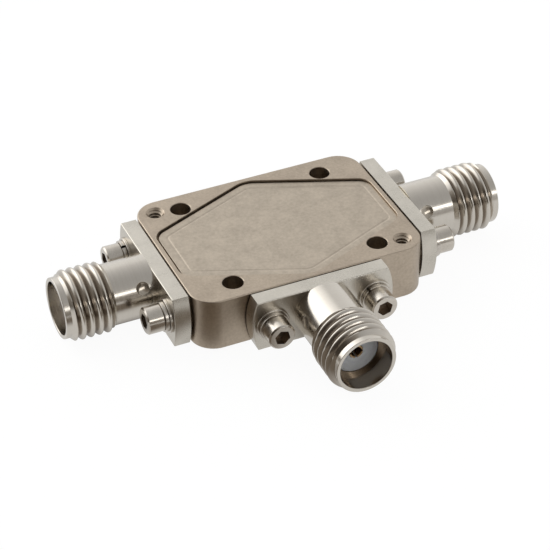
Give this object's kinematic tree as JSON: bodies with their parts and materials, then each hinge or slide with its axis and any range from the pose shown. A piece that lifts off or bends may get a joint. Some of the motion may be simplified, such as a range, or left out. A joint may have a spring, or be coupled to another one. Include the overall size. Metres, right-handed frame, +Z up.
{
  "type": "rf mixer",
  "caption": "Coaxial RF mixer: milled metal housing with a sunk hexagonal lid and flanged, threaded coaxial jacks on its ends and front side.",
  "frame": {"origin": "centre of the housing's bottom face", "axes": "+Z up out of the lid, +X through the two end jacks, -Y towards the middle jack"},
  "size_m": [0.0418, 0.0262, 0.0063],
  "materials": {
    "housing_nickel": "satin nickel plate over milled metal, warm taupe, fine speckle",
    "lid_nickel": "satin nickel plate over milled plate, slightly warmer than the housing",
    "flange_steel": "passivated stainless steel, satin flange, bright turned barrel and thread",
    "screw_steel": "polished stainless steel",
    "washer_steel": "bright stainless steel",
    "insulator_white": "waxy white fluoropolymer",
    "contact_gold": "gold plate over spring copper, dull",
    "resin": "cured epoxy, cloudy amber",
    "bead_glass": "dark green sealing glass",
    "board_ceramic": "polished white alumina",
    "carrier_gold": "gold plated carrier plate",
    "chip_dark": "dark polished semiconductor"
  },
  "bodies": {
    "root": {"housing": "housing_nickel", "lid": "lid_nickel", "circuit_carrier": "carrier_gold", "mixer_chip": "chip_dark", "left_connector_shell": "flange_steel", "left_insulator": "insulator_white", "left_resin_plug": "resin", "left_center_contact": "contact_gold", "left_glass_bead": "bead_glass", "left_feedthrough_pin": "contact_gold", "left_substrate": "board_ceramic", "left_circuit_line": "contact_gold", "left_bond_ribbon": "contact_gold", "left_front_screw": "screw_steel", "left_front_screw_flat_washer": "washer_steel", "left_front_screw_spring_washer": "washer_steel", "left_rear_screw": "screw_steel", "left_rear_screw_flat_washer": "washer_steel", "left_rear_screw_spring_washer": "washer_steel", "right_connector_shell": "flange_steel", "right_insulator": "insulator_white", "right_resin_plug": "resin", "right_center_contact": "contact_gold", "right_glass_bead": "bead_glass", "right_feedthrough_pin": "contact_gold", "right_substrate": "board_ceramic", "right_circuit_line": "contact_gold", "right_bond_ribbon": "contact_gold", "right_front_screw": "screw_steel", "right_front_screw_flat_washer": "washer_steel", "right_front_screw_spring_washer": "washer_steel", "right_rear_screw": "screw_steel", "right_rear_screw_flat_washer": "washer_steel", "right_rear_screw_spring_washer": "washer_steel", "middle_connector_shell": "flange_steel", "middle_insulator": "insulator_white", "middle_resin_plug": "resin", "middle_center_contact": "contact_gold", "middle_glass_bead": "bead_glass", "middle_feedthrough_pin": "contact_gold", "middle_substrate": "board_ceramic", "middle_circuit_line": "contact_gold", "middle_bond_ribbon": "contact_gold", "middle_left_screw": "screw_steel", "middle_left_screw_flat_washer": "washer_steel", "middle_left_screw_spring_washer": "washer_steel", "middle_right_screw": "screw_steel", "middle_right_screw_flat_washer": "washer_steel", "middle_right_screw_spring_washer": "washer_steel"}
  },
  "joints": []
}
